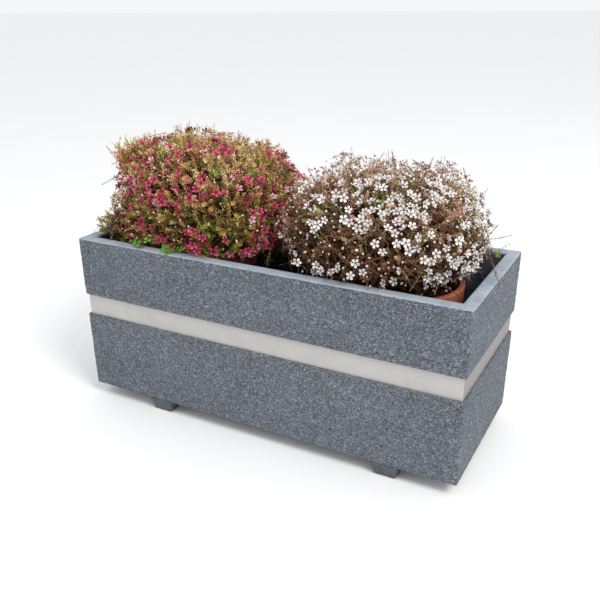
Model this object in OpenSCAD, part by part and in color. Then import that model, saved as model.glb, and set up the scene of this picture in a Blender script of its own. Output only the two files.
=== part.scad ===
// Precast concrete planter box with a light band, drained floor and two lift-out potted shrubs.
// Millimetres, +Z up. Origin: on the ground, below the centre of the box. +X runs along the box,
// and the front is the -Y side.

/* [Casting] */
// Length over the rim
box_length = 1000; // [900:10:1100]
// Width over the rim
box_width = 400; // [380:5:450]
// Height of the casting, without its feet
box_height = 405; // [390:5:450]
// How far each outer face leans in from the rim to the bottom
outer_draft = 4; // [2:1:8]
// Width of the rim
rim_wall = 29; // [27:1:36]
// How far each inner face leans in from the rim to the floor
inner_draft = 13; // [6:1:16]
// Thickness of the floor
floor_thickness = 42; // [38:1:60]

/* [Band] */
// Height of the band's lower edge above the casting's bottom
band_bottom = 202; // [190:1:215]
// Height of the band
band_height = 54; // [40:1:60]
// How far the band lies below the outer face
band_recess = 6; // [3:1:6]
// Thickness of a band strip
band_thickness = 8; // [6:1:8]

/* [Feet] */
// Height of the feet
foot_height = 33; // [25:1:45]
// Length of a foot where it meets the casting
foot_length = 65; // [50:1:90]
// Depth of a foot, front to back, where it meets the casting
foot_depth = 46; // [40:1:70]
// How far each side of a foot leans in
foot_taper = 6; // [2:1:9]
// Centre of the left feet
foot_left_x = -285; // [-380:5:-200]
// Centre of the right feet
foot_right_x = 331; // [200:1:380]

/* [Drainage] */
// Distance of each drain from the middle of the floor
drain_x = 250; // [232:2:330]
// Radius of the drain's bore
drain_bore_r = 16; // [10:1:18]
// Wall of the drain sleeve
sleeve_wall = 4; // [2:1:5]
// Thickness of the sealing coat inside the box
coat_thickness = 1.5; // [1:0.5:3]
// Gap between the rim and the coat's upper edge
coat_below_rim = 4; // [2:1:10]
// Depth of the stone layer on the floor
bed_depth = 95; // [60:5:110]

/* [Reinforcement] */
// Diameter of the steel bars
bar_d = 6; // [4:1:6]
// Radius of the bends, to the bar's middle
bend_r = 20; // [15:1:30]
// Distance between neighbouring hoops
hoop_spacing = 200; // [190:5:205]

/* [Pots] */
// Outer radius of a pot's lip
pot_lip_r = 126; // [110:1:130]
// Outer radius of a pot's base
pot_base_r = 86; // [70:1:95]
// Height of a pot
pot_height = 235; // [200:5:240]
// Thickness of a pot's wall
pot_wall = 7; // [5:1:9]
// Height of the collar below the lip
collar_height = 42; // [30:1:60]
// Distance of the left pot's middle from the box's left end
left_pot_from_end = 260; // [200:5:350]
// Distance of the right pot's middle from the box's right end
right_pot_from_end = 200; // [190:5:330]
// How far the pots stand from the middle, towards the front
pot_front_offset = 15; // [0:1:25]
// Depth of the compost's surface below the lip
soil_below_lip = 28; // [15:1:50]

/* [Shrubs] */
// Gap between the box's inner left end and the left shrub, below its crown
left_shrub_gap = 21; // [20:1:41]
// Right end of the left shrub
left_shrub_end = 8; // [-20:1:16]
// Left end of the right shrub, below its crown
right_shrub_start = 22; // [16:1:60]
// Gap between the right shrub, below its crown, and the box's inner right end
right_shrub_gap = 7; // [0:1:31]
// Greatest width of the shrubs, front to back
shrub_width = 388; // [340:2:396]
// How far the left shrub rises above the rim
left_shrub_rise = 246; // [200:1:320]
// How far the right shrub rises above the rim
right_shrub_rise = 212; // [180:1:300]
// Length of the left shrub at the rim, as a share of its length below the crown
left_rim_share = 1.06; // [0.9:0.01:1.06]
// Length of the right shrub at the rim, as a share of its length below the crown
right_rim_share = 0.80; // [0.7:0.01:0.9]
// How far the top of each shrub leans towards the left
shrub_lean = 10; // [0:1:20]
// How far the shrubs reach down below the rim, as long as they clear the pots
shrub_drop = 30; // [10:1:40]
// Diameter of a shrub's stems at the compost
stem_d = 13; // [8:1:18]

/* [Hidden] */

concrete_color = [0.44, 0.47, 0.50];
band_color = [0.78, 0.77, 0.74];
coat_color = [0.12, 0.14, 0.17];
stone_color = [0.55, 0.50, 0.44];
steel_color = [0.45, 0.40, 0.36];
sleeve_color = [0.35, 0.36, 0.38];
pot_color = [0.68, 0.36, 0.26];
soil_color = [0.22, 0.15, 0.10];
stem_color = [0.36, 0.27, 0.19];

circle_fn = 96;
half_length = box_length / 2;
half_width = box_width / 2;
cavity_depth = box_height - floor_thickness;
band_top = band_bottom + band_height;
rim_z = foot_height + box_height;
floor_z = foot_height + floor_thickness;
bed_top_z = floor_z + bed_depth;
inner_end_x = half_length - rim_wall;
pot_y = -pot_front_offset;
pot_left_x = -half_length + left_pot_from_end;
pot_right_x = half_length - right_pot_from_end;
lip_z = bed_top_z + pot_height;
soil_z = lip_z - soil_below_lip;
soil_gap = 0.3;
coat_gap = 0.02;
shrub_clearance = 3;
shrub_bottom_z = max(rim_z - shrub_drop, lip_z + shrub_clearance);

// How far the outer face stands inside the rim's outline at height z above the casting's bottom
function outer_inset(z) = outer_draft * (box_height - z) / box_height;

// The same for the inner face, measured from the rim's outline
function inner_inset(z) = rim_wall + inner_draft * (box_height - z) / cavity_depth;

// Block with sloping sides, given the inset from the rim's outline at its lower and upper height
module sloped_block(z0, z1, inset0, inset1) {
    reach = box_length + box_width;
    intersection() {
        rotate([90, 0, 0])
            linear_extrude(height = reach, center = true)
                polygon([
                    [-half_length + inset0, z0], [half_length - inset0, z0],
                    [half_length - inset1, z1], [-half_length + inset1, z1]
                ]);
        rotate([90, 0, 90])
            linear_extrude(height = reach, center = true)
                polygon([
                    [-half_width + inset0, z0], [half_width - inset0, z0],
                    [half_width - inset1, z1], [-half_width + inset1, z1]
                ]);
    }
}

// Solid inside the outer faces, moved in by depth
module outer_block(z0, z1, depth) {
    sloped_block(z0, z1, outer_inset(z0) + depth, outer_inset(z1) + depth);
}

// Solid inside the inner faces, moved in by depth
module inner_block(z0, z1, depth) {
    sloped_block(z0, z1, inner_inset(z0) + depth, inner_inset(z1) + depth);
}

module at_drains() {
    for (side = [-1, 1])
        translate([side * drain_x, 0, 0]) children();
}

// Bottom of the casting, with the drain holes
module trough_floor() {
    below = 10;
    color(concrete_color)
        translate([0, 0, foot_height])
            difference() {
                outer_block(0, floor_thickness, 0);
                at_drains()
                    translate([0, 0, -below])
                        cylinder(
                            r = drain_bore_r + sleeve_wall,
                            h = floor_thickness + 2 * below,
                            $fn = circle_fn
                        );
            }
}

// Plan of the part of a ring that belongs to a side with the given half sizes, cut at the mitres
module mitre_plan(along, across) {
    out = 20;
    in = 60;
    polygon([
        [-along - out, -across - out], [along + out, -across - out],
        [along - in, -across + in], [-along + in, -across + in]
    ]);
}

// One wall of the casting, on the side that turn degrees bring to the front, with the band's groove
module wall(turn, along, across) {
    above = 10;
    groove_depth = band_recess + band_thickness;
    color(concrete_color)
        translate([0, 0, foot_height])
            intersection() {
                difference() {
                    outer_block(floor_thickness, box_height, 0);
                    inner_block(floor_thickness - above, box_height + above, 0);
                    difference() {
                        outer_block(band_bottom, band_top, -above);
                        outer_block(band_bottom - above, band_top + above, groove_depth);
                    }
                }
                rotate([0, 0, turn])
                    linear_extrude(height = box_height + above)
                        mitre_plan(along, across);
            }
}

module trough_front_wall() {
    wall(0, half_length, half_width);
}

module trough_back_wall() {
    wall(180, half_length, half_width);
}

module trough_left_wall() {
    wall(-90, half_width, half_length);
}

module trough_right_wall() {
    wall(90, half_width, half_length);
}

// One strip of the band, on the side that turn degrees bring to the front
module band_strip(turn, along, across) {
    margin = 5;
    color(band_color)
        translate([0, 0, foot_height])
            intersection() {
                difference() {
                    outer_block(band_bottom, band_top, band_recess);
                    outer_block(band_bottom - margin, band_top + margin, band_recess + band_thickness);
                }
                rotate([0, 0, turn])
                    linear_extrude(height = box_height)
                        mitre_plan(along, across);
            }
}

module band_front() {
    band_strip(0, half_length, half_width);
}

module band_back() {
    band_strip(180, half_length, half_width);
}

module band_left() {
    band_strip(-90, half_width, half_length);
}

module band_right() {
    band_strip(90, half_width, half_length);
}

// Foot with its top against the casting and its outer side flush with the front or back face
module foot(x, side) {
    outer_y = half_width - outer_draft;
    top_x = foot_length / 2;
    reach = 3 * foot_depth;
    color(concrete_color)
        translate([x, side * (outer_y - foot_depth / 2), 0])
            intersection() {
                rotate([90, 0, 0])
                    linear_extrude(height = reach, center = true)
                        polygon([
                            [-top_x + foot_taper, 0], [top_x - foot_taper, 0],
                            [top_x, foot_height], [-top_x, foot_height]
                        ]);
                rotate([90, 0, 90])
                    linear_extrude(height = reach, center = true)
                        polygon([
                            [-foot_depth / 2 + foot_taper, 0], [foot_depth / 2 - foot_taper, 0],
                            [foot_depth / 2, foot_height], [-foot_depth / 2, foot_height]
                        ]);
            }
}

module foot_front_left() {
    foot(foot_left_x, -1);
}

module foot_front_right() {
    foot(foot_right_x, -1);
}

module foot_back_left() {
    foot(foot_left_x, 1);
}

module foot_back_right() {
    foot(foot_right_x, 1);
}

// Tube through the floor, level with the underside and with the top of the sealing coat
module drain_sleeve(side) {
    cut = 1;
    color(sleeve_color)
        translate([side * drain_x, 0, foot_height])
            difference() {
                cylinder(
                    r = drain_bore_r + sleeve_wall,
                    h = floor_thickness + coat_thickness,
                    $fn = circle_fn
                );
                translate([0, 0, -cut])
                    cylinder(r = drain_bore_r, h = floor_thickness + coat_thickness + 2 * cut, $fn = circle_fn);
            }
}

module drain_sleeve_left() {
    drain_sleeve(-1);
}

module drain_sleeve_right() {
    drain_sleeve(1);
}

// The coat stands coat_gap off the concrete, so that the two never overlap
module inner_coating() {
    above = 10;
    color(coat_color)
        translate([0, 0, foot_height])
            difference() {
                inner_block(floor_thickness + coat_gap, box_height - coat_below_rim, coat_gap);
                inner_block(floor_thickness + coat_thickness, box_height + above, coat_thickness);
                at_drains()
                    cylinder(r = drain_bore_r + sleeve_wall, h = box_height, $fn = circle_fn);
            }
}

module drainage_bed() {
    color(stone_color)
        translate([0, 0, foot_height])
            inner_block(floor_thickness + coat_thickness, floor_thickness + bed_depth, coat_thickness);
}

// The hoops stand this far outside the rim's inner edge, and the rings lie just outside the hoops
hoop_offset = bar_d;
ring_offset = hoop_offset + bar_d + 0.2;
ring_half_x = half_length - rim_wall + ring_offset;
ring_half_y = half_width - rim_wall + ring_offset;
hoop_half_y = half_width - rim_wall + hoop_offset;
bottom_ring_z = floor_thickness / 2;
middle_ring_z = band_bottom - 50;
top_ring_z = box_height - 25;
hoop_bottom_z = bottom_ring_z - bar_d - 0.5;
hoop_top_z = box_height - 18;
hoop_count = 5;

// Straight bar along +X that starts at the origin
module bar(length) {
    rotate([0, 90, 0])
        cylinder(d = bar_d, h = length, $fn = 48);
}

// Quarter bend about the origin, from the +X side to the +Y side
module bend() {
    rotate_extrude(angle = 90, $fn = circle_fn)
        translate([bend_r, 0])
            circle(d = bar_d, $fn = 48);
}

module rebar_ring(z) {
    straight_x = ring_half_x - bend_r;
    straight_y = ring_half_y - bend_r;
    color(steel_color)
        translate([0, 0, foot_height + z]) {
            for (side = [0, 180])
                rotate([0, 0, side]) {
                    translate([-straight_x, -ring_half_y, 0]) bar(2 * straight_x);
                    translate([ring_half_x, -straight_y, 0]) rotate([0, 0, 90]) bar(2 * straight_y);
                    translate([straight_x, straight_y, 0]) bend();
                    translate([-straight_x, straight_y, 0]) rotate([0, 0, 90]) bend();
                }
        }
}

module rebar_top_ring() {
    rebar_ring(top_ring_z);
}

module rebar_middle_ring() {
    rebar_ring(middle_ring_z);
}

module rebar_bottom_ring() {
    rebar_ring(bottom_ring_z);
}

// U-shaped bar that runs across the floor and up the front and back walls
module hoop() {
    leg = hoop_top_z - hoop_bottom_z - bend_r;
    run = 2 * (hoop_half_y - bend_r);
    translate([0, -run / 2, hoop_bottom_z])
        rotate([0, 0, 90]) bar(run);
    for (turn = [0, 180])
        rotate([0, 0, turn]) {
            translate([0, run / 2, hoop_bottom_z + bend_r])
                rotate([0, 90, 0]) bend();
            translate([0, hoop_half_y, hoop_bottom_z + bend_r])
                rotate([0, -90, 0]) bar(leg);
        }
}

module rebar_hoops() {
    color(steel_color)
        translate([0, 0, foot_height])
            for (i = [0 : hoop_count - 1])
                translate([(i - (hoop_count - 1) / 2) * hoop_spacing, 0, 0]) hoop();
}

// Radius of a pot's outer wall at height z above its base, below the collar
function pot_outer_r(z) = pot_base_r + (pot_lip_r - 6 - pot_base_r) * z / pot_height;

module pot(x) {
    hole_r = 12;
    base = pot_wall + 2;
    collar_z = pot_height - collar_height;
    color(pot_color)
        translate([x, pot_y, bed_top_z])
            rotate_extrude($fn = circle_fn)
                polygon([
                    [hole_r, 0], [pot_base_r, 0], [pot_outer_r(collar_z), collar_z],
                    [pot_lip_r - 2, collar_z], [pot_lip_r, pot_height - 3], [pot_lip_r - 3, pot_height],
                    [pot_outer_r(pot_height) - pot_wall + 2, pot_height],
                    [pot_outer_r(base) - pot_wall, base], [hole_r, base]
                ]);
}

module soil(x) {
    base = pot_wall + 2;
    top = pot_height - soil_below_lip;
    inner_bottom_r = pot_outer_r(base) - pot_wall;
    inner_top_r = pot_outer_r(pot_height) - pot_wall + 2;
    top_share = (top - base) / (pot_height - base);
    color(soil_color)
        translate([x, pot_y, bed_top_z + base])
            cylinder(
                r1 = inner_bottom_r - soil_gap,
                r2 = inner_bottom_r + (inner_top_r - inner_bottom_r) * top_share - soil_gap,
                h = top - base,
                $fn = circle_fn
            );
}

// Woody stems between the compost and the underside of the foliage
module stems(x) {
    spread = 26;
    stem_count = 5;
    color(stem_color)
        translate([x, pot_y, soil_z])
            for (i = [0 : stem_count - 1])
                rotate([0, 0, i * 360 / stem_count])
                    translate([spread, 0, 0])
                        cylinder(d = stem_d, h = shrub_bottom_z - soil_z, $fn = 32);
}

// Outline of the foliage: each row is the share of the rise, then the share of the way that the
// half length has gone from its size at the rim to its size below the crown, and the half width
// as a share of its greatest size.
lower_rows = [[0.00, 0.00, 0.84], [0.08, 0.55, 0.95], [0.32, 1.00, 1.00]];
// Above those, both half sizes shrink by the same share.
upper_rows = [[0.55, 0.98], [0.75, 0.89], [0.89, 0.71], [0.97, 0.46], [1.00, 0.18]];
shrub_sides = 28;
shrub_squareness = 2.6;

// Point of a rounded rectangle with half sizes a and b
function round_point(a, b, angle) =
    let (c = cos(angle), s = sin(angle), e = 2 / shrub_squareness)
    [a * sign(c) * pow(abs(c), e), b * sign(s) * pow(abs(s), e)];

// Foliage of one shrub as a closed crowned solid. One that is longer at the rim grows outward, to
// the left, so that it clears its neighbour when it is lifted.
module foliage(start, end, pot_x, rise, rim_share, tint) {
    a = (end - start) / 2;
    b = shrub_width / 2;
    cx = (start + end) / 2;
    foot_share = 0.62;
    outward = -max(0, rim_share - 1) * a;
    lowest = max(rim_z, shrub_bottom_z) + shrub_clearance;
    span_z = rise - shrub_clearance;
    rows = concat(
        [[shrub_bottom_z, foot_share * a, foot_share * b, (cx + pot_x) / 2, pot_y]],
        [for (r = lower_rows)
            [
                lowest + r[0] * span_z, (rim_share + r[1] * (1 - rim_share)) * a, r[2] * b,
                cx - r[0] * shrub_lean + (1 - r[1]) * outward, 0
            ]],
        [for (r = upper_rows)
            [lowest + r[0] * span_z, r[1] * a, r[1] * b, cx - r[0] * shrub_lean, 0]]
    );
    ring_count = len(rows);
    points = [
        for (r = rows, i = [0 : shrub_sides - 1])
            let (p = round_point(r[1], r[2], i * 360 / shrub_sides))
            [r[3] + p[0], r[4] + p[1], r[0]]
    ];
    sides = [
        for (k = [0 : ring_count - 2], i = [0 : shrub_sides - 1])
            let (j = (i + 1) % shrub_sides, n = shrub_sides)
            [k * n + i, (k + 1) * n + i, (k + 1) * n + j, k * n + j]
    ];
    bottom = [[for (i = [0 : shrub_sides - 1]) i]];
    top = [[for (i = [shrub_sides - 1 : -1 : 0]) (ring_count - 1) * shrub_sides + i]];
    color(tint) polyhedron(points, concat(sides, bottom, top), convexity = 4);
}

module left_pot() {
    pot(pot_left_x);
}

module left_soil() {
    soil(pot_left_x);
}

module left_stems() {
    stems(pot_left_x);
}

module left_foliage() {
    foliage(
        -inner_end_x + left_shrub_gap, left_shrub_end, pot_left_x,
        left_shrub_rise, left_rim_share, [0.62, 0.36, 0.34]
    );
}

module right_pot() {
    pot(pot_right_x);
}

module right_soil() {
    soil(pot_right_x);
}

module right_stems() {
    stems(pot_right_x);
}

module right_foliage() {
    foliage(
        right_shrub_start, inner_end_x - right_shrub_gap, pot_right_x,
        right_shrub_rise, right_rim_share, [0.66, 0.55, 0.50]
    );
}

trough_floor();
trough_front_wall();
trough_back_wall();
trough_left_wall();
trough_right_wall();
band_front();
band_back();
band_left();
band_right();
foot_front_left();
foot_front_right();
foot_back_left();
foot_back_right();
drain_sleeve_left();
drain_sleeve_right();
inner_coating();
drainage_bed();
rebar_top_ring();
rebar_middle_ring();
rebar_bottom_ring();
rebar_hoops();
left_pot();
left_soil();
left_stems();
left_foliage();
right_pot();
right_soil();
right_stems();
right_foliage();
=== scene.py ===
import math

import bmesh
import bpy
import numpy as np
from mathutils import Matrix, Vector


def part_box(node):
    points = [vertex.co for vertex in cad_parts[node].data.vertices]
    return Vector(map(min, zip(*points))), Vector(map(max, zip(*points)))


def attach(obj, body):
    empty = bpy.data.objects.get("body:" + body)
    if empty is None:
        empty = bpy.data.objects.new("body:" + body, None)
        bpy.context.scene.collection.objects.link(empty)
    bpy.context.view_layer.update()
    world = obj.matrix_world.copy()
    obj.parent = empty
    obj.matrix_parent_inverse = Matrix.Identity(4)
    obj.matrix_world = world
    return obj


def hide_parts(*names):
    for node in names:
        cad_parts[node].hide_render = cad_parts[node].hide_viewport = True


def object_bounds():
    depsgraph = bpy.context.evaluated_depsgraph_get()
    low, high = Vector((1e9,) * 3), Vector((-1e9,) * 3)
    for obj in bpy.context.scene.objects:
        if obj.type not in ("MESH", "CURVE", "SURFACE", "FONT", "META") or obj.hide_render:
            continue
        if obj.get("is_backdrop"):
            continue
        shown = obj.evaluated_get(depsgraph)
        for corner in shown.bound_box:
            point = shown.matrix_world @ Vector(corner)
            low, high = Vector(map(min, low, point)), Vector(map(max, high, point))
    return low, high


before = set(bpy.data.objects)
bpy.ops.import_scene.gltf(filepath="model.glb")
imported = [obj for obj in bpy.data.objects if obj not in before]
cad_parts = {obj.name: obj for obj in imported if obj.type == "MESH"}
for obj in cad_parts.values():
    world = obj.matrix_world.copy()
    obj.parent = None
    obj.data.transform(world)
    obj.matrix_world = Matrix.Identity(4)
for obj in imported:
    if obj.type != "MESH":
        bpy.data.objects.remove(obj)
CAD_LOW, CAD_HIGH = (np.array(corner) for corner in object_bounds())
SIDES = ("left", "right")

# ---------------------------------------------------------------- places taken from the CAD frame


def corners(node):
    """Lowest and highest corner of a CAD node as numpy arrays."""
    return tuple(np.array(corner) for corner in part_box(node))


def vertices(node):
    """Vertices of a CAD node as an array."""
    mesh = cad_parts[node].data
    found = np.empty(len(mesh.vertices) * 3)
    mesh.vertices.foreach_get("co", found)
    return found.reshape(-1, 3)


def half_sizes_at(node, z, centre=(0, 0)):
    """Half length and half width of a CAD node at height z, where it has vertices."""
    points = vertices(node)
    level = points[np.abs(points[:, 2] - z) < 1e-4]
    return np.abs(level[:, :2] - np.array(centre)).max(0)


TROUGH = ["trough_floor"] + [f"trough_{side}_wall" for side in ("front", "back", "left", "right")]
FLOOR_LOW, FLOOR_HIGH = corners("trough_floor")
WALL_LOW, WALL_HIGH = corners("trough_front_wall")
BAND_LOW, BAND_HIGH = corners("band_front")
COAT_LOW, COAT_HIGH = corners("inner_coating")
BOTTOM_Z, RIM_Z = FLOOR_LOW[2], WALL_HIGH[2]
BAND_LOW_Z, BAND_HIGH_Z = BAND_LOW[2], BAND_HIGH[2]
FLOOR_Z = FLOOR_HIGH[2]
BOTTOM_HALF = half_sizes_at("trough_floor", BOTTOM_Z)
RIM_HALF = np.array([WALL_HIGH[0], -WALL_LOW[1]])
COAT_TOP_HALF = COAT_HIGH[:2]
COAT_FLOOR_HALF = half_sizes_at("inner_coating", COAT_LOW[2])


def between(low, high, share):
    return low + (high - low) * share


def outer_half(z):
    """Half length and half width of the casting's outer face at height z."""
    return between(BOTTOM_HALF, RIM_HALF, (z - BOTTOM_Z) / (RIM_Z - BOTTOM_Z))


def inner_half(z):
    """Half length and half width of the casting's inner face at height z."""
    return between(COAT_FLOOR_HALF, COAT_TOP_HALF, (z - FLOOR_Z) / (COAT_HIGH[2] - FLOOR_Z))


GROOVE_DEPTH = outer_half(BAND_HIGH_Z)[1] + BAND_HIGH[1]

# ---------------------------------------------------------------- noise on arrays of points


def hashed(cells, seed):
    """A number from 0 to 1 for each whole-numbered cell."""
    i, j, k = (cells[..., axis].astype(np.int64) for axis in range(3))
    mixed = (i * 73856093) ^ (j * 19349663) ^ (k * 83492791) ^ (seed * 1640531527)
    mixed = ((mixed ^ (mixed >> 13)) * 1274126177) & 0xFFFFFFFF
    mixed = ((mixed ^ (mixed >> 16)) * 668265263) & 0xFFFFFFFF
    return (mixed >> 8) / float(1 << 24)


def smooth_noise(points, cell, seed):
    """Soft noise from -1 to 1 with features about one cell wide."""
    scaled = points / cell
    base = np.floor(scaled)
    part = scaled - base
    part = part * part * (3 - 2 * part)
    total = np.zeros(points.shape[:-1])
    for corner in np.ndindex(2, 2, 2):
        offset = np.array(corner)
        weight = np.prod(np.where(offset, part, 1 - part), axis=-1)
        total += weight * hashed(base + offset, seed)
    return 2 * total - 1


def stone_height(points, cell, seed):
    """Height of rounded stones packed about one cell apart, as a share of the cell."""
    scaled = points / cell
    base = np.floor(scaled)
    height = np.zeros(points.shape[:-1])
    for corner in np.ndindex(3, 3, 3):
        near = base + np.array(corner) - 1
        centre = near + np.stack([hashed(near, seed + axis) for axis in range(3)], -1)
        radius = 0.4 + 0.35 * hashed(near, seed + 3)
        away = ((scaled - centre) ** 2).sum(-1) / radius**2
        height = np.maximum(height, radius * np.sqrt(np.maximum(0, 1 - away)))
    return height


# ---------------------------------------------------------------- meshes


def set_values(mesh, key, numbers):
    """A number for each point of a mesh, which its material reads by the key."""
    layer = mesh.attributes.new(key, "FLOAT", "POINT")
    layer.data.foreach_set("value", np.asarray(numbers, np.float32).ravel())


def mesh_of(name, points, faces, look, smooth=True, values=None):
    """An object from arrays: points of any shape whose last axis is x, y and z, faces as a list of
    arrays with a column for each corner, and values with a number for each point under each key.
    """
    mesh = bpy.data.meshes.new(name)
    points = np.asarray(points, np.float32).reshape(-1, 3)
    faces = [np.asarray(f, np.int32) for f in faces if len(f)]
    loops = np.concatenate([f.ravel() for f in faces])
    totals = np.concatenate([np.full(len(f), f.shape[1], np.int32) for f in faces])
    starts = np.concatenate([[0], np.cumsum(totals)[:-1]]).astype(np.int32)
    mesh.vertices.add(len(points))
    mesh.vertices.foreach_set("co", points.ravel())
    mesh.loops.add(len(loops))
    mesh.loops.foreach_set("vertex_index", loops)
    mesh.polygons.add(len(totals))
    mesh.polygons.foreach_set("loop_start", starts)
    mesh.materials.append(look)
    mesh.update(calc_edges=True)
    mesh.polygons.foreach_set("use_smooth", np.full(len(totals), smooth))
    for key, numbers in (values or {}).items():
        set_values(mesh, key, numbers)
    mesh.validate()
    made = bpy.data.objects.new(name, mesh)
    bpy.context.scene.collection.objects.link(made)
    return made


def belongs(piece, body, slot, *nodes):
    """The piece rides on a body and stands for CAD nodes, which are hidden. The slot is not used."""
    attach(piece, body)
    if nodes:
        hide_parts(*nodes)
    return piece


def unit(vectors):
    return vectors / np.maximum(np.linalg.norm(vectors, axis=-1, keepdims=True), 1e-12)


def placed(template, axes, origins, sizes):
    """Copies of a template, or a shape for each copy: its x, y and z go along the rows of axes."""
    scaled = template * np.asarray(sizes)[:, None, None]
    return np.einsum("mvi,mij->mvj", scaled, axes) + origins[:, None]


def repeated(faces, copies, stride):
    """The faces of a template for each of its copies."""
    return (faces[None] + (np.arange(copies) * stride)[:, None, None]).reshape(-1, faces.shape[1])


def axes_facing(directions, rng):
    """Three perpendicular axes for each direction, which is the third one, turned at random."""
    z = unit(directions)
    side = unit(np.cross(z, rng.normal(size=z.shape)))
    return np.stack([side, np.cross(z, side), z], 1)


def ring_faces(rings, around):
    """Quads between closed rings that have the same number of points each."""
    k, s = np.meshgrid(np.arange(rings - 1), np.arange(around), indexing="ij")
    after = (s + 1) % around
    faces = [k * around + s, k * around + after, (k + 1) * around + after, (k + 1) * around + s]
    return np.stack(faces, -1).reshape(-1, 4)


def tubes(curves, radii, sides):
    """Tapered tubes along curves of shape (tubes, rings, 3), closed at the far end by a point."""
    count, rings = curves.shape[:2]
    along = unit(curves[:, -1] - curves[:, 0])
    helper = np.where(np.abs(along[:, 2:]) < 0.9, [[0.0, 0.0, 1.0]], [[1.0, 0.0, 0.0]])
    first = unit(np.cross(along, helper))
    second = np.cross(along, first)
    turn = np.arange(sides) * 2 * math.pi / sides
    ring = first[:, None] * np.cos(turn)[:, None] + second[:, None] * np.sin(turn)[:, None]
    points = curves[:, :, None] + ring[:, None] * np.asarray(radii).reshape(-1, rings, 1, 1)
    last = (rings - 1) * sides
    s = np.arange(sides)
    fan = np.stack([last + s, last + (s + 1) % sides, np.full(sides, last + sides)], -1)
    stride = last + sides + 1
    points = np.concatenate([points.reshape(count, -1, 3), curves[:, -1:]], 1)
    return points, repeated(ring_faces(rings, sides), count, stride), repeated(fan, count, stride)


# ---------------------------------------------------------------- materials


def grey(value):
    return (value, value, value)


def dimmed(colour, factor):
    return tuple(part * factor for part in colour)


class Look:
    """A procedural material in the making. Scales of noise and cells are in features per metre."""

    def __init__(self, name, specular=0.35):
        self.made = bpy.data.materials.new(name)
        self.made.use_nodes = True
        self.tree = self.made.node_tree
        self.shader = self.tree.nodes["Principled BSDF"]
        self.shader.inputs["Specular IOR Level"].default_value = specular
        self.where = self.add("ShaderNodeTexCoord").outputs["Object"]

    def add(self, kind, inputs=None, **settings):
        """A new node, with its settings, and with each input a value or a link."""
        made = self.tree.nodes.new(kind)
        for name, value in settings.items():
            setattr(made, name, value)
        for name, value in (inputs or {}).items():
            if isinstance(value, bpy.types.NodeSocket):
                self.tree.links.new(value, made.inputs[name])
            else:
                made.inputs[name].default_value = value
        return made

    def ramp(self, factor, stops, smooth=True):
        """The colour that a factor from 0 to 1 picks out of stops of (place, colour)."""
        made = self.add("ShaderNodeValToRGB", {"Fac": factor})
        made.color_ramp.interpolation = "EASE" if smooth else "LINEAR"
        elements = made.color_ramp.elements
        while len(elements) < len(stops):
            elements.new(0.5)
        for element, (place, colour) in zip(elements, stops):
            element.position = place
            element.color = (*colour, 1)
        return made.outputs["Color"]

    def fade(self, factor, start, end, low=0.0, high=1.0):
        """A grey that goes from low to high while the factor goes from start to end."""
        return self.ramp(factor, [(start, grey(low)), (end, grey(high))])

    def mix(self, factor, a, b, blend="MIX"):
        """Two colours mixed: each is a socket or three numbers."""
        made = self.tree.nodes.new("ShaderNodeMix")
        made.data_type, made.blend_type = "RGBA", blend
        for socket, value in ((made.inputs[0], factor), (made.inputs[6], a), (made.inputs[7], b)):
            if isinstance(value, bpy.types.NodeSocket):
                self.tree.links.new(value, socket)
            else:
                socket.default_value = value if isinstance(value, (int, float)) else (*value, 1)
        return made.outputs[2]

    def times(self, colour, other, share=1.0):
        """One colour multiplied by a share of another."""
        return self.mix(share, colour, other, "MULTIPLY")

    def scaled(self, value, low, high):
        """A value from 0 to 1 moved to the range from low to high."""
        made = self.add("ShaderNodeMapRange", {"Value": value, "To Min": low, "To Max": high})
        return made.outputs["Result"]

    def noise(self, scale, detail=3.0, roughness=0.55, stretch=None):
        where = self.where
        if stretch:
            where = self.add("ShaderNodeMapping", {"Vector": where, "Scale": stretch}).outputs["Vector"]
        inputs = {"Vector": where, "Scale": scale, "Detail": detail, "Roughness": roughness}
        return self.add("ShaderNodeTexNoise", inputs).outputs["Fac"]

    def cells(self, scale):
        """Outputs of a Voronoi node: one random Color a cell, and the Distance from its middle."""
        return self.add("ShaderNodeTexVoronoi", {"Vector": self.where, "Scale": scale}).outputs

    def channel(self, colour, name="Red"):
        return self.add("ShaderNodeSeparateColor", {"Color": colour}).outputs[name]

    def plus(self, a, b, share):
        """a and b added, with b weighted by share."""
        return self.add("ShaderNodeMath", {0: b, 1: share, 2: a}, operation="MULTIPLY_ADD").outputs[0]

    def attribute(self, name):
        return self.add("ShaderNodeAttribute", attribute_name=name).outputs["Fac"]

    def link(self, name, value):
        self.tree.links.new(value, self.shader.inputs[name])

    def finish(self, colour, roughness, height, strength, distance):
        """Links the colour, the roughness and the bump, and returns the material."""
        self.link("Base Color", colour)
        self.link("Roughness", roughness)
        bump = self.add("ShaderNodeBump", {"Height": height, "Strength": strength, "Distance": distance})
        self.link("Normal", bump.outputs["Normal"])
        return self.made


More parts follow.
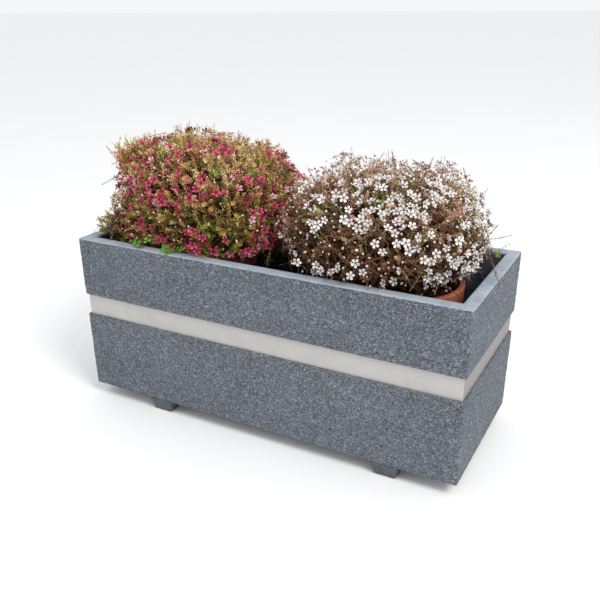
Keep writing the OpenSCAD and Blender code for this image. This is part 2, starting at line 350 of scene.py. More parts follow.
def aggregate(look, brightness, contrast):
    """Blue-grey matrix packed with small dark and light stones: returns colour, tone and height."""
    stones = look.cells(330)
    grains = look.cells(640)
    tone = look.channel(stones["Color"])
    fine = look.channel(grains["Color"], "Green")
    colour = look.ramp(look.plus(look.scaled(tone, 0, 0.55), fine, 0.45), [
        (0.05, dimmed((0.022, 0.026, 0.035), brightness / contrast)),
        (0.28, dimmed((0.090, 0.103, 0.125), brightness)),
        (0.55, dimmed((0.150, 0.168, 0.197), brightness)),
        (0.78, dimmed((0.212, 0.234, 0.266), brightness)),
        (0.97, dimmed((0.450, 0.472, 0.500), brightness * contrast)),
    ], smooth=False)
    lumps = look.noise(330, 2.0, 0.5)
    colour = look.times(colour, look.fade(lumps, 0.32, 0.40, 0.35), 0.7)
    cloud = look.ramp(look.noise(6, 4.0), [(0.3, (0.93, 0.935, 0.94)), (0.7, (1.05, 1.045, 1.04))])
    height = look.plus(look.scaled(stones["Distance"], 1.0, 0.0), grains["Distance"], -0.35)
    return look.times(colour, cloud), tone, look.plus(height, lumps, 0.8)


def rim_colour(look):
    """Smooth light concrete with fine mottling, pinholes and a few darker rubs: colour and mottle."""
    soft = look.noise(26, 5.0, 0.6)
    colour = look.ramp(soft, [
        (0.30, (0.285, 0.325, 0.385)), (0.55, (0.355, 0.398, 0.460)), (0.75, (0.43, 0.472, 0.525))])
    speckle = look.ramp(look.channel(look.cells(320)["Color"]), [
        (0.02, grey(0.62)), (0.10, grey(0.97)), (0.97, grey(1.0)), (1.0, grey(1.12))])
    rubs = look.ramp(look.noise(9, 6.0, 0.7), [(0.34, (0.80, 0.79, 0.77)), (0.46, grey(1.0))])
    return look.times(look.times(colour, speckle, 0.8), rubs, 0.7), soft


def casting_material():
    """Blasted aggregate on the faces, which breaks off raggedly where the smooth rim begins."""
    look = Look("aggregate_concrete", 0.25)
    colour, tone, height = aggregate(look, 0.91, 1.0)
    smooth, soft = rim_colour(look)
    ragged = look.plus(look.noise(120, 3.0, 0.6), 1.0, -0.5)
    share = look.fade(look.plus(look.attribute("rim"), ragged, 0.9), 0.46, 0.54)
    roughness = look.channel(look.mix(share, look.scaled(tone, 0.78, 0.97), look.scaled(soft, 0.70, 0.92)))
    relief = look.channel(look.mix(share, height, look.scaled(soft, 1.0, 1.3)))
    return look.finish(look.mix(share, colour, smooth), roughness, relief, 0.6, 0.0016)


def foot_material():
    """The same concrete as the casting, but rubbed smoother and darker."""
    look = Look("foot_concrete", 0.25)
    colour, tone, height = aggregate(look, 0.80, 0.72)
    skin = look.ramp(look.noise(30, 5.0, 0.6), [(0.3, (0.063, 0.078, 0.087)), (0.7, (0.100, 0.119, 0.128))])
    return look.finish(look.mix(0.62, colour, skin), look.scaled(tone, 0.78, 0.97), height, 0.4, 0.0012)


def band_material(name, tint):
    """Smooth cast stone: cloudy tone, faint wipe marks, small air holes, darker along the bottom edge, and
    painted shadow along the top edge under the overhanging casting.
    """
    look = Look(name)
    cloud = look.noise(11, 5.0, 0.6)
    wipes = look.noise(60, 3.0, 0.6, (0.35, 0.35, 1.0))
    red, green, blue = tint
    dull = (red * 0.93, green * 0.925, blue * 0.91)
    light = (red * 1.06, green * 1.06, blue * 1.07)
    colour = look.ramp(cloud, [(0.28, dull), (0.52, tint), (0.76, light)])
    colour = look.times(colour, look.fade(wipes, 0.32, 0.68, 0.97, 1.02), 0.8)
    spots = look.cells(95)
    holed = look.times(colour, look.fade(spots["Distance"], 0.05, 0.11, 0.55))
    few = look.fade(look.channel(spots["Color"], "Blue"), 0.86, 0.88, 0.0, 0.7)
    colour = look.mix(few, colour, holed)
    up_the_strip = look.channel(look.add("ShaderNodeTexCoord").outputs["Generated"], "Blue")
    edge = look.plus(up_the_strip, look.plus(wipes, 1.0, -0.5), 0.05)
    # Painted shade: the strip is darker along its bottom edge, and dark along its top edge as a painted
    # shadow under the overhanging casting.
    painted_edge_shade = look.ramp(edge, [(0.02, grey(0.80)), (0.05, grey(1.0)), (0.935, grey(1.0)), (0.985, grey(0.30))])
    relief = look.plus(cloud, look.noise(500, 2.0), 0.25)
    return look.finish(look.times(colour, painted_edge_shade), look.scaled(wipes, 0.58, 0.8), relief, 0.25, 0.001)


def coat_material():
    """Nearly black brushed-on sealing coat, with dust in its hollows."""
    look = Look("sealing_coat", 0.4)
    strokes = look.noise(90, 4.0, stretch=(0.3, 0.3, 1))
    colour = look.ramp(strokes, [
        (0.3, (0.036, 0.048, 0.068)), (0.6, (0.062, 0.080, 0.108)), (0.8, (0.105, 0.128, 0.160))])
    dust = look.fade(look.noise(17, 6.0, 0.7), 0.55, 0.75, 0.0, 0.30)
    colour = look.mix(dust, colour, (0.10, 0.085, 0.065))
    return look.finish(colour, look.scaled(strokes, 0.38, 0.75), strokes, 0.5, 0.0015)


def terracotta_material():
    """Fired clay: warm orange with darker fire marks and a pale bloom of lime."""
    look = Look("terracotta", 0.3)
    fire = look.noise(14, 4.0)
    colour = look.ramp(fire, [
        (0.3, (0.27, 0.070, 0.042)), (0.55, (0.38, 0.110, 0.064)), (0.8, (0.48, 0.165, 0.10))])
    bloom = look.fade(look.noise(34, 6.0, 0.7), 0.56, 0.72, 0.0, 0.42)
    rings = look.noise(60, 2.0, stretch=(0.1, 0.1, 4))
    relief = look.plus(rings, look.noise(600, 2.0), 0.4)
    colour = look.mix(bloom, colour, (0.66, 0.42, 0.33))
    return look.finish(colour, look.scaled(fire, 0.68, 0.9), relief, 0.3, 0.001)


def compost_material():
    """Dark crumbs, each of its own tone."""
    look = Look("compost", 0.2)
    crumbs = look.cells(260)
    tone = look.channel(crumbs["Color"])
    colour = look.ramp(tone, [
        (0.0, (0.012, 0.008, 0.005)), (0.6, (0.045, 0.028, 0.017)), (1.0, (0.12, 0.075, 0.04))])
    return look.finish(
        colour, look.scaled(tone, 0.85, 1.0), look.scaled(crumbs["Distance"], 1, 0), 0.8, 0.003)


def pebble_material():
    """Brown and grey stones, one tone for each, with faint veins."""
    look = Look("drainage_pebbles")
    colour = look.ramp(look.attribute("tone"), [
        (0.0, (0.10, 0.085, 0.07)), (0.35, (0.22, 0.18, 0.14)),
        (0.7, (0.34, 0.30, 0.25)), (1.0, (0.46, 0.44, 0.40))])
    colour = look.times(colour, look.fade(look.noise(150, 4.0), 0.35, 0.65, 0.75, 1.1), 0.8)
    return look.finish(colour, look.scaled(look.noise(80), 0.6, 0.95), look.noise(420), 0.3, 0.0008)


def bark_material():
    """Brown bark with fibres, which run upwards."""
    look = Look("bark", 0.2)
    fibres = look.noise(400, 3.0, stretch=(1, 1, 0.2))
    colour = look.ramp(look.attribute("tone"), [
        (0.0, (0.075, 0.045, 0.028)), (0.6, (0.16, 0.085, 0.045)), (1.0, (0.30, 0.16, 0.09))])
    colour = look.times(colour, look.fade(fibres, 0.3, 0.7, 0.65, 1.25), 0.9)
    return look.finish(colour, look.scaled(fibres, 0.8, 1.0), fibres, 0.5, 0.0006)


def leaf_material(name, stops):
    """Small leaves: a tone for each leaf, a tint for each twig, paler tips and a fine mottle."""
    look = Look(name)
    colour = look.ramp(look.attribute("tone"), stops, smooth=False)
    tints = look.ramp(look.attribute("hue"), [
        (0.0, (0.94, 0.60, 0.63)), (0.33, (1.00, 0.88, 0.87)),
        (0.58, (1.0, 1.0, 0.92)), (1.0, (0.55, 0.92, 0.34))])
    tips = look.ramp(look.attribute("along"), [
        (0.0, grey(0.72)), (0.7, grey(1.0)), (1.0, (1.25, 1.12, 0.95))])
    colour = look.times(look.times(colour, tints), tips, 0.8)
    colour = look.times(colour, look.fade(look.noise(240, 2.0), 0.3, 0.7, 0.85, 1.12), 0.6)
    return look.finish(colour, look.scaled(look.noise(90), 0.5, 0.75), look.noise(900, 2.0), 0.2, 0.0004)


def petal_material(name, heart, middle, edge, pale, deep):
    """Petals: dark at the heart, veined, lighter at the edge, with some deeper and paler flowers."""
    look = Look(name, 0.3)
    along = look.attribute("along")
    tone = look.attribute("tone")
    full = look.ramp(along, [(0.0, heart), (0.20, heart), (0.32, middle), (1.0, edge)])
    weak = look.ramp(along, [(0.0, heart), (0.18, heart), (0.27, pale), (1.0, pale)])
    colour = look.mix(look.fade(tone, 0.84, 0.97, 0.0, 0.9), full, weak)
    depth = look.ramp(tone, [(0.0, deep), (0.35, grey(0.85)), (0.6, grey(1.0))])
    colour = look.times(colour, depth)
    colour = look.times(colour, look.fade(look.noise(520, 2.0), 0.3, 0.65, 0.84, 1.06), 0.7)
    return look.finish(colour, look.scaled(look.noise(200), 0.45, 0.7), look.noise(700, 2.0), 0.25, 0.0004)


def plastic_material():
    """Black plastic with scuffs."""
    look = Look("sleeve_plastic", 0.4)
    scuffs = look.noise(160, 4.0)
    colour = look.ramp(scuffs, [(0.3, (0.045, 0.046, 0.050)), (0.7, (0.085, 0.086, 0.09))])
    return look.finish(colour, look.scaled(scuffs, 0.4, 0.65), scuffs, 0.2, 0.0005)


def steel_material():
    """Rusty reinforcement steel."""
    look = Look("rebar_steel", 0.5)
    look.shader.inputs["Metallic"].default_value = 0.4
    rust = look.noise(120, 5.0, 0.65)
    colour = look.ramp(rust, [
        (0.35, (0.11, 0.10, 0.10)), (0.55, (0.20, 0.09, 0.045)), (0.75, (0.34, 0.14, 0.06))])
    return look.finish(colour, look.scaled(rust, 0.5, 0.95), rust, 0.5, 0.0008)


CASTING = casting_material()
FOOT_CONCRETE = foot_material()
BAND = band_material("band_stone", (0.482, 0.463, 0.442))
# The end strips are the same cast stone in a much darker tint: painted shade on the ends of the band.
BAND_SHADED_ENDS = band_material("band_stone_shaded_ends", (0.262, 0.250, 0.248))
COAT = coat_material()
TERRACOTTA = terracotta_material()
COMPOST = compost_material()
PEBBLES = pebble_material()
BARK = bark_material()
LEFT_LEAVES = leaf_material("left_leaves", [
    (0.00, (0.042, 0.022, 0.010)), (0.18, (0.130, 0.070, 0.024)), (0.34, (0.205, 0.135, 0.036)),
    (0.60, (0.465, 0.330, 0.090)), (0.84, (0.750, 0.545, 0.205)), (1.00, (0.930, 0.760, 0.500))])
RIGHT_LEAVES = leaf_material("right_leaves", [
    (0.00, (0.050, 0.026, 0.015)), (0.25, (0.165, 0.080, 0.045)), (0.50, (0.290, 0.160, 0.090)),
    (0.75, (0.540, 0.388, 0.245)), (1.00, (0.880, 0.750, 0.570))])
CLOVER_LEAVES = leaf_material("clover_leaves", [
    (0.0, (0.060, 0.180, 0.015)), (0.6, (0.110, 0.280, 0.025)), (1.0, (0.200, 0.400, 0.060))])
PINK = petal_material("pink_petals", (0.060, 0.004, 0.012), (0.420, 0.015, 0.074), (0.690, 0.088, 0.208),
                      (0.780, 0.430, 0.520), (0.33, 0.17, 0.19))
WHITE = petal_material("white_petals", (0.170, 0.155, 0.135), (0.720, 0.690, 0.680), (0.830, 0.808, 0.800),
                       (0.800, 0.700, 0.680), (0.88, 0.83, 0.81))
BUDS = petal_material("buds", (0.260, 0.100, 0.075), (0.560, 0.340, 0.270), (0.820, 0.670, 0.600),
                      (0.860, 0.790, 0.740), (0.70, 0.56, 0.52))
PLASTIC = plastic_material()
STEEL = steel_material()

# ---------------------------------------------------------------- the casting

GRID = 0.0043          # spacing of the rings and of the points along them
EDGE = 0.0028          # radius of the casting's worn edges
CORNER_STEPS = 3       # faces round each of its upright corners
STONE = 0.0065         # size of the stones that stand out of its faces
STONE_RELIEF = 0.0013  # how far they stand out
FOOT_RELIEF = 0.0006   # the same on the feet
DRAIN_SIDES = 32       # faces round a drain hole


def loop_points(half, radius, steps_x, steps_y):
    """Points round a rectangle with rounded corners, the same number whatever its size."""
    x, y = half - radius
    arc = np.linspace(0, math.pi / 2, CORNER_STEPS + 1)[1:-1]
    side_x = np.linspace(-1, 1, steps_x + 1) * x
    side_y = np.linspace(-1, 1, steps_y + 1) * y
    sides = [(side_x, -half[1]), (half[0], side_y), (-side_x, half[1]), (-half[0], -side_y)]
    parts = []
    for quarter, (sx, sy) in enumerate([(1, -1), (1, 1), (-1, 1), (-1, -1)]):
        parts.append(np.stack(np.broadcast_arrays(*sides[quarter]), -1))
        angle = -math.pi / 2 + quarter * math.pi / 2 + arc
        parts.append(np.stack([sx * x + radius * np.cos(angle), sy * y + radius * np.sin(angle)], -1))
    return np.concatenate(parts)


def rounded(z, out, body, size=EDGE):
    """Rows of (inset, height) that round an edge at height z.

    The rows run outwards if out is 1 and inwards if it is -1, and the concrete is above the edge if
    body is 1 and below it if it is -1.
    """
    turn = np.array([0.15, 0.5, 0.85]) * math.pi / 2
    inset = size * (1 - np.sin(turn))
    rise = size * (1 - np.cos(turn)) * body
    rows = list(zip(inset, z + rise))
    return rows if out > 0 else rows[::-1]


def levels(low, high, spacing=GRID):
    return np.linspace(low, high, max(2, int(round((high - low) / spacing)) + 1))


def lofted(rows, steps_x, steps_y, centre=(0.0, 0.0)):
    """Rings for rows of (half sizes, height, corner radius): points and the faces between them."""
    rings = []
    for half, z, radius in rows:
        flat = loop_points(np.asarray(half), radius, steps_x, steps_y) + np.array(centre)
        rings.append(np.column_stack([flat, np.full(len(flat), z)]))
    around = len(rings[0])
    return np.concatenate(rings), ring_faces(len(rings), around), around


def roughen(made, points, weight, height, seed):
    """Pushes the points of a mesh in and out, like a blasted face of small stones."""
    normals = np.empty(len(points) * 3, np.float32)
    made.data.vertices.foreach_get("normal", normals)
    stones = stone_height(points, STONE, seed) - 0.42
    grain = smooth_noise(points, 0.0045, seed + 7)
    waves = smooth_noise(points, 0.055, seed + 9)
    push = height * (stones + 0.35 * grain + 0.2 * waves)
    moved = points + normals.reshape(-1, 3) * (push * weight)[:, None]
    made.data.vertices.foreach_set("co", moved.astype(np.float32).ravel())
    made.data.update()


def casting_rows():
    """Rows of the casting from the underside, up the outside, over the rim and down to the floor.

    Each row is its half sizes, its height, its corner radius, how rough it is, and how much of it
    belongs to the smooth rim.
    """
    rows = []

    def outside(inset, z, rough, rim=0.0):
        rows.append((outer_half(z) - inset, z, max(EDGE - inset, 0.0012), rough, rim))

    def inside(inset, z, rough, rim):
        rows.append((inner_half(z) - inset, z, EDGE, rough, rim))

    outside(EDGE, BOTTOM_Z, 0)
    for inset, z in rounded(BOTTOM_Z, 1, 1):
        outside(inset, z, 0.4)
    for z in levels(BOTTOM_Z + EDGE, BAND_LOW_Z - EDGE):
        outside(0, z, 1)
    # The worn edge atop the lower part, under the band, takes patches of the lighter rim finish: a painted
    # highlight along the ledge.
    for inset, z in rounded(BAND_LOW_Z, -1, -1, EDGE * 0.6):
        outside(inset, z, 0.5, 0.25)
    for depth, z in ((0.4, BAND_LOW_Z), (1, BAND_LOW_Z), (1, BAND_HIGH_Z), (0.4, BAND_HIGH_Z)):
        outside(GROOVE_DEPTH * depth, z, 0)
    for inset, z in rounded(BAND_HIGH_Z, 1, 1, EDGE * 0.6):
        outside(inset, z, 0.6)
    for z in levels(BAND_HIGH_Z + EDGE, RIM_Z - EDGE):
        outside(0, z, 1, max(0.0, 0.42 - 0.3 * (RIM_Z - EDGE - z) / GRID))
    for (inset, z), rim in zip(rounded(RIM_Z, -1, -1), (0.55, 0.75, 0.95)):
        outside(inset, z, 0.45, rim)
    rim_wall = (RIM_HALF - inner_half(RIM_Z))[0]
    for inset in np.linspace(EDGE, rim_wall - EDGE * 0.6, 6):
        outside(inset, RIM_Z, 0.10, 1.5)
    inside(-EDGE * 0.2, RIM_Z - EDGE * 0.4, 0.05, 1.5)
    for z in np.linspace(RIM_Z - EDGE, FLOOR_Z, 8):
        inside(0, z, 0, 1.5)
    return rows


def drain_circles():
    """Centre and radius of each hole that the casting has round a drain sleeve."""
    found = []
    for side in SIDES:
        low, high = corners("drain_sleeve_" + side)
        found.append(((low + high)[:2] / 2, (high - low)[0] / 2))
    return found


def close_with_drains(made, around, last_start):
    """Fills the underside and the floor round the drain holes, and lines the holes."""
    bm = bmesh.new()
    bm.from_mesh(made.data)
    bm.verts.ensure_lookup_table()
    under_loop = bm.verts[:around]
    floor_loop = bm.verts[last_start:last_start + around]
    edges = {"under": [], "floor": []}
    for key, loop in (("under", under_loop), ("floor", floor_loop)):
        for a, b in zip(loop, loop[1:] + loop[:1]):
            edges[key].append(bm.edges.get((a, b)) or bm.edges.new((a, b)))
    for centre, radius in drain_circles():
        rings = []
        for key, z in (("under", BOTTOM_Z), ("floor", FLOOR_Z)):
            ring = [
                bm.verts.new((centre[0] + radius * math.cos(t), centre[1] + radius * math.sin(t), z))
                for t in (2 * math.pi * i / DRAIN_SIDES for i in range(DRAIN_SIDES))
            ]
            edges[key] += [bm.edges.new((a, b)) for a, b in zip(ring, ring[1:] + ring[:1])]
            rings.append(ring)
        for i in range(DRAIN_SIDES):
            j = (i + 1) % DRAIN_SIDES
            bm.faces.new((rings[0][j], rings[0][i], rings[1][i], rings[1][j]))
    for key, up in (("under", -1), ("floor", 1)):
        filled = bmesh.ops.triangle_fill(bm, edges=edges[key], use_beauty=False, normal=(0, 0, up))
        for face in (g for g in filled["geom"] if isinstance(g, bmesh.types.BMFace)):
            face.smooth = False
            if face.normal.z * up < 0:
                face.normal_flip()
    bm.to_mesh(made.data)
    bm.free()


def build_trough():
    """The concrete casting with rough faces, worn edges and a smooth rim."""
    rows = casting_rows()
    steps_x = int(round(2 * RIM_HALF[0] / GRID))
    steps_y = int(round(2 * RIM_HALF[1] / GRID))
    points, faces, around = lofted([row[:3] for row in rows], steps_x, steps_y)
    rough, rim = (np.repeat([row[column] for row in rows], around) for column in (3, 4))
    made = mesh_of("trough_casting", points, [faces], CASTING, values={"rim": rim})
    roughen(made, points, rough, STONE_RELIEF, 21)
    close_with_drains(made, around, (len(rows) - 1) * around)
    return belongs(made, "box", "aggregate_concrete", *TROUGH)


def build_foot(node):
    """A short foot with worn edges, rough like the casting."""
    low, high = corners(node)
    centre = (low + high)[:2] / 2
    small = half_sizes_at(node, low[2], centre)
    large = half_sizes_at(node, high[2], centre)
    radius = 0.0035
    rows = [(small - radius, low[2], 0.001)]
    rows += [(small - inset, z, 0.003) for inset, z in rounded(low[2], 1, 1, radius)]
    for z in levels(low[2] + radius, high[2], 0.004):
        rows.append((between(small, large, (z - low[2]) / (high[2] - low[2])), z, 0.004))
    points, faces, around = lofted(rows, 14, 9, centre)
    ends = [np.arange(around)[None, ::-1], np.arange(around)[None] + (len(rows) - 1) * around]
    made = mesh_of(node + "_block", points, [faces, *ends], FOOT_CONCRETE)
    weight = np.repeat([0.0, 0.2] + [1.0] * (len(rows) - 3) + [0.0], around)
    roughen(made, points, weight, FOOT_RELIEF, 33)
    for end in made.data.polygons[-2:]:
        end.use_smooth = False
    return belongs(made, "box", "foot_concrete", node)


build_trough()
for foot_node in ("foot_front_left", "foot_front_right", "foot_back_left", "foot_back_right"):
    build_foot(foot_node)


def dress(node, look, bevel=0.0):
    """Keeps a CAD node's shape and gives it a material, and its sharp edges a small bevel."""
    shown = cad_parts[node]
    shown.data.materials.clear()
    shown.data.materials.append(look)
    if bevel:
        softened = shown.modifiers.new("worn_edges", "BEVEL")
        softened.width, softened.segments, softened.limit_method = bevel, 2, "ANGLE"


# The left and right strips take the darker end tint, which is painted shade.
for side, look in (("front", BAND), ("back", BAND), ("left", BAND_SHADED_ENDS), ("right", BAND_SHADED_ENDS)):
    dress("band_" + side, look, 0.0008)
dress("inner_coating", COAT)
for side in SIDES:
    dress("drain_sleeve_" + side, PLASTIC, 0.0006)
    dress(side + "_pot", TERRACOTTA, 0.0012)
for node in ("rebar_top_ring", "rebar_middle_ring", "rebar_bottom_ring", "rebar_hoops"):
    dress(node, STEEL)

# ---------------------------------------------------------------- drainage stones and compost

BOX_FACES = np.array([[3, 2, 1, 0], [4, 5, 6, 7], [0, 1, 5, 4], [1, 2, 6, 5], [2, 3, 7, 6], [3, 0, 4, 7]])
BED_TOP_GAP = 0.0005   # between the tops of the stones and the top of the CAD block
BED_PACKED = 0.012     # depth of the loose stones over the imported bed
CHIP = np.array([[-1, -0.4, -0.12], [1, -0.3, -0.12], [0.9, 0.4, -0.12], [-0.8, 0.5, -0.12],
                 [-0.9, -0.3, 0.12], [0.9, -0.25, 0.12], [0.8, 0.35, 0.12], [-0.7, 0.4, 0.12]])


def ball_template(subdivisions):
    """Vertices and triangles of a ball of unit radius."""
    bm = bmesh.new()
    bmesh.ops.create_icosphere(bm, subdivisions=subdivisions, radius=1)
    bm.verts.ensure_lookup_table()
    points = np.array([v.co for v in bm.verts])
    faces = np.array([[v.index for v in f.verts] for f in bm.faces])
    bm.free()
    return points, faces


def build_drainage_bed():
    """A layer of round stones on a packed bed of the CAD block's size."""
    rng = np.random.default_rng(41)
    low, high = corners("drainage_bed")
    ball, ball_faces = ball_template(2)
    pitch, size = 0.0185, 0.0105
    grid_x, grid_y = (np.arange(low[a] + size * 1.3, high[a] - size * 1.2, pitch) for a in (0, 1))
    spots = np.stack(np.meshgrid(grid_x, grid_y, indexing="ij"), -1).reshape(-1, 2)
    spots = spots + rng.uniform(-0.003, 0.003, spots.shape)
    radius = size * rng.uniform(0.78, 1.08, len(spots))
    stretch = rng.uniform(0.75, 1.1, (len(spots), 1, 3))
    lumps = 1 + 0.10 * smooth_noise(ball[None] * 0.9 + rng.uniform(0, 50, (len(spots), 1, 3)), 1.0, 5)
    shape = ball[None] * stretch * lumps[..., None]
    axes = axes_facing(rng.normal(size=(len(spots), 3)), rng)
    turned = np.einsum("mvi,mij->mvj", shape, axes) * radius[:, None, None]
    centre = np.column_stack([spots, high[2] - BED_TOP_GAP - turned[..., 2].max(1)])
    points = turned + centre[:, None]
    count = len(ball)
    tone = np.repeat(rng.uniform(0, 1, len(spots)), count)
    levels_of_slab = ((low[2], half_sizes_at("drainage_bed", low[2])), (high[2] - BED_PACKED, high[:2]))
    slab = [[sx * half[0], sy * half[1], z] for z, half in levels_of_slab
            for sx, sy in ((-1, -1), (1, -1), (1, 1), (-1, 1))]
    made = mesh_of(
        "drainage_stones", np.concatenate([points.reshape(-1, 3), slab]),
        [repeated(ball_faces, len(spots), count), BOX_FACES + len(spots) * count], PEBBLES,
        values={"tone": np.concatenate([tone, np.full(8, 0.1)])},
    )
    return belongs(made, "box", "drainage_stone", "drainage_bed")


def build_soil(side):
    """Compost in a pot: a crumbly surface with bark chips over a plain cone."""
    rng = np.random.default_rng(43 if side == "left" else 44)
    node = side + "_soil"
    low, high = corners(node)
    centre = (low + high)[:2] / 2
    top_r = (high - low)[0] / 2
    bottom_r = half_sizes_at(node, low[2], centre)[0]
    around, rings = 72, 18
    turn = np.arange(around) * 2 * math.pi / around
    radii = [0.02 * bottom_r, bottom_r] + list(top_r * np.linspace(1, 0.03, rings))
    heights = [low[2], low[2]] + [high[2] - 0.001] * rings
    points = np.array([[centre[0] + r * math.cos(t), centre[1] + r * math.sin(t), z]
                       for r, z in zip(radii, heights) for t in turn])
    inside = np.repeat([0, 0, 0] + [1] * (rings - 1), around)
    crumbs = 0.0022 * smooth_noise(points, 0.006, 3) + 0.004 * smooth_noise(points, 0.022, 4)
    points[:, 2] += crumbs * inside
    chips = 160
    reach = top_r * 0.93 * np.sqrt(rng.uniform(0, 1, chips))
    angle = rng.uniform(0, 2 * math.pi, chips)
    flat = centre + reach[:, None] * np.stack([np.cos(angle), np.sin(angle)], -1)
    origins = np.column_stack([flat, np.full(chips, high[2] + 0.002)])
    axes = axes_facing(rng.normal(size=(chips, 3)) * 0.35 + [0, 0, 1], rng)
    flakes = placed(CHIP, axes, origins, rng.uniform(0.003, 0.008, chips))
    made = mesh_of(side + "_compost", np.concatenate([points, flakes.reshape(-1, 3)]),
                   [ring_faces(len(radii), around), repeated(BOX_FACES, chips, 8) + len(points)], COMPOST)
    return belongs(made, side + "_plant", "compost", node)


build_drainage_bed()
for side in SIDES:
    build_soil(side)

# ---------------------------------------------------------------- shrubs

OVERHANG = np.array([0.034, 0.018, 0.026])     # how far twigs may reach past the CAD box
LEAF_LIMIT_LOW = CAD_LOW - OVERHANG
LEAF_LIMIT_HIGH = CAD_HIGH + OVERHANG
WALL_GAP, RIM_GAP, POT_GAP = 0.004, 0.002, 0.003  # least room between twigs and what they pass
LUMPS = [(0.016, 0.085), (0.011, 0.04)]        # height and size of a crown's lumps, large and small
LUMPS_SUNK = 0.006                             # how far the lumps as a whole are pushed in
TWIG_RINGS = 5                                 # points along a twig
STEMS, FORKS, FORK_TWIGS = 6, 5, 6             # stems of a shrub, forks of a stem, twigs of a fork
STEM_R = 0.006                                 # radius of a stem in the compost
BRANCH_DEPTH = 0.045                           # how far inside the crown the branches end


class Crown:
    """The outer surface of one shrub: its CAD solid, plus side clumps, all softly lumpy.

    Each clump is a centre, its radii and the share of the shrub's twigs that grow there. The shrub
    is thinner by sunk on the side that the direction thin faces.
    """

    def __init__(self, node, seed, clumps, thin, sunk):
        self.rng = np.random.default_rng(seed)
        self.low, self.high = corners(node)
        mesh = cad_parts[node].data
        mesh.calc_loop_triangles()
        points = vertices(node)
        triangles = points[np.array([t.vertices[:] for t in mesh.loop_triangles])]
        normal = np.cross(triangles[:, 1] - triangles[:, 0], triangles[:, 2] - triangles[:, 0])
        area = np.linalg.norm(normal, axis=1)
        normal = unit(normal)
        keep = normal[:, 2] > -0.9
        self.triangles, self.normals, area = triangles[keep], normal[keep], area[keep]
        self.share = area / area.sum()
        self.seed = seed
        self.middle = np.array([*(self.low + self.high)[:2] / 2, RIM_Z + 0.05])
        self.clumps = [(np.array(centre), np.array(radii), share) for centre, radii, share in clumps]
        self.thin, self.sunk = unit(np.array(thin)), sunk

    def on_solid(self, count, weight):
        """Random points on the CAD solid and their outward directions."""
        share = self.share * weight(self.triangles.mean(1))
        pick = self.rng.choice(len(share), count, p=share / share.sum())
        a, b = self.rng.uniform(0, 1, (2, count, 1))
        flip = (a + b) > 1
        a, b = np.where(flip, 1 - a, a), np.where(flip, 1 - b, b)
        t = self.triangles[pick]
        spots = t[:, 0] + a * (t[:, 1] - t[:, 0]) + b * (t[:, 2] - t[:, 0])
        return spots, unit(0.5 * self.normals[pick] + 0.5 * unit(spots - self.middle))

    def sample(self, count, weight):
        """Random points all over the crown and their outward directions."""
        spots, outward = self.on_solid(count, weight)
        facing = np.clip(outward @ self.thin, 0, 1) ** 3
        found = [(spots - outward * (self.sunk * facing)[:, None], outward)]
        for centre, radii, share in self.clumps:
            around = unit(self.rng.normal(size=(int(count * share), 3)) + [0, 0, 0.3])
            spots = centre + around * radii
            # Away from the crown's middle too, so that the lower ends of twigs stay inside it.
            found.append((spots, unit(around + 1.3 * unit(spots - self.middle))))
        spots, outward = (np.concatenate(parts) for parts in zip(*found))
        lumps = sum(height * smooth_noise(spots, size, self.seed + k)
                    for k, (height, size) in enumerate(LUMPS))
        return spots + outward * (lumps - LUMPS_SUNK)[:, None], outward


def within_reach(points, margin=0.0):
    """Which of several shapes stay as near the CAD box as twigs may, with a margin."""
    return ((points > LEAF_LIMIT_LOW + margin) & (points < LEAF_LIMIT_HIGH - margin)).all((1, 2))


def clear_of_box(points):
    """Whether points are off the concrete: over the rim, or inside the walls."""
    walls = inner_half(RIM_Z) - WALL_GAP
    inside = (np.abs(points[..., 0]) < walls[0]) & (np.abs(points[..., 1]) < walls[1])
    return (points[..., 2] > RIM_Z + RIM_GAP) | inside


def clear_of_pot(points, side):
    """Whether points are over the pot's lip or away from its wall."""
    low, high = corners(side + "_pot")
    centre, radius = (low + high)[:2] / 2, (high - low)[0] / 2
    away = np.linalg.norm(points[..., :2] - centre, axis=-1)
    return (points[..., 2] > high[2] + RIM_GAP) | (away > radius + POT_GAP)


def sprig_curves(tips, directions, lengths, rise, rings):
    """Gently bent curves that end at tips, and turn towards the sky by rise."""
    share = np.linspace(0, 1, rings)[None, :, None]
    back = tips[:, None] - directions[:, None] * lengths[:, None, None] * (1 - share)
    lift = rise[:, None, None] * lengths[:, None, None] * (share**2 - 1)
    return back + lift * np.array([0, 0, 1.0])


def at_share(curves, share):
    """Points on curves at shares from 0 to 1, and the direction there."""
    rings = curves.shape[1]
    place = np.clip(share * (rings - 1), 0, rings - 1 - 1e-6)
    index = place.astype(int)
    part = (place - index)[..., None]
    row = np.arange(len(curves))[:, None]
    a, b = curves[row, index], curves[row, index + 1]
    return a + (b - a) * part, unit(b - a)


# A leaf's base, one side, tip and other side: across it, along it and above it.
LEAF = np.array([[0, 0, 0], [-0.5, 0.42, 0.10], [0, 1, 0.0], [0.5, 0.42, 0.10]])
LEAF_FACES = np.array([[0, 2, 1], [0, 3, 2]])
LEAF_ALONG = np.array([0.0, 0.45, 1.0, 0.45])  # how far each point is towards the tip, for the colour


